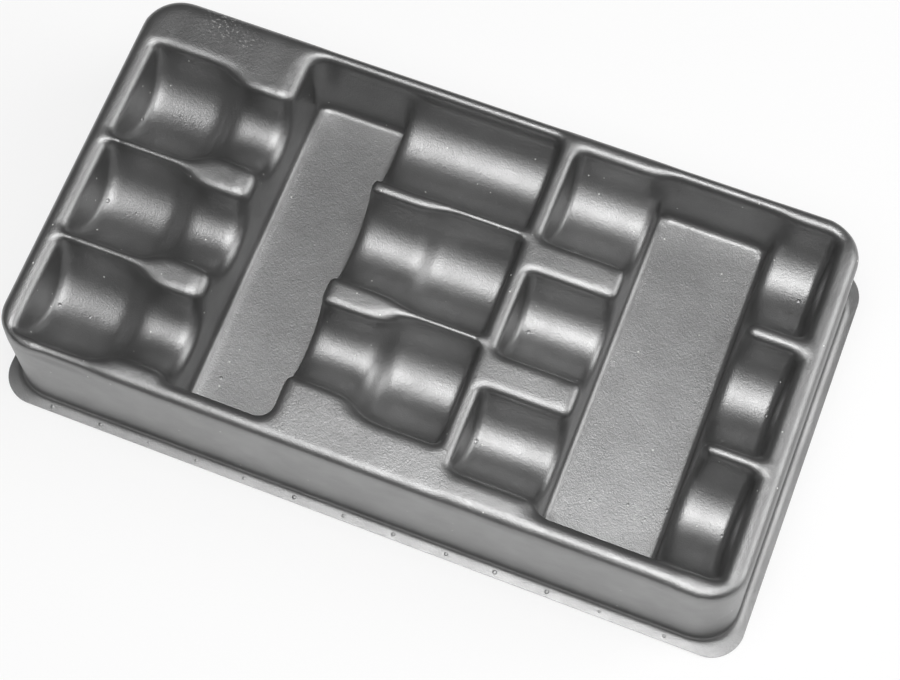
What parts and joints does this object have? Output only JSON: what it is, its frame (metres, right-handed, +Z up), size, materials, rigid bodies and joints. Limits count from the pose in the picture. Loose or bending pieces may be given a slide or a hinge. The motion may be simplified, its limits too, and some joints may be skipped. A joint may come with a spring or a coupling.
{
  "type": "socket tray",
  "caption": "Thermoformed plastic tool tray with half-round and stepped socket beds that open into sunken finger troughs, on a flanged skirt.",
  "frame": {"origin": "centre of the flange's underside, in the plane that the tray rests on", "axes": "+X along the tray, +Y across it from the front edge to the back edge, +Z up through the deck"},
  "size_m": [0.188, 0.1032, 0.035],
  "materials": {
    "formed_sheet": "satin with a fine grain"
  },
  "bodies": {
    "root": {"socket_tray": "formed_sheet"}
  },
  "joints": []
}
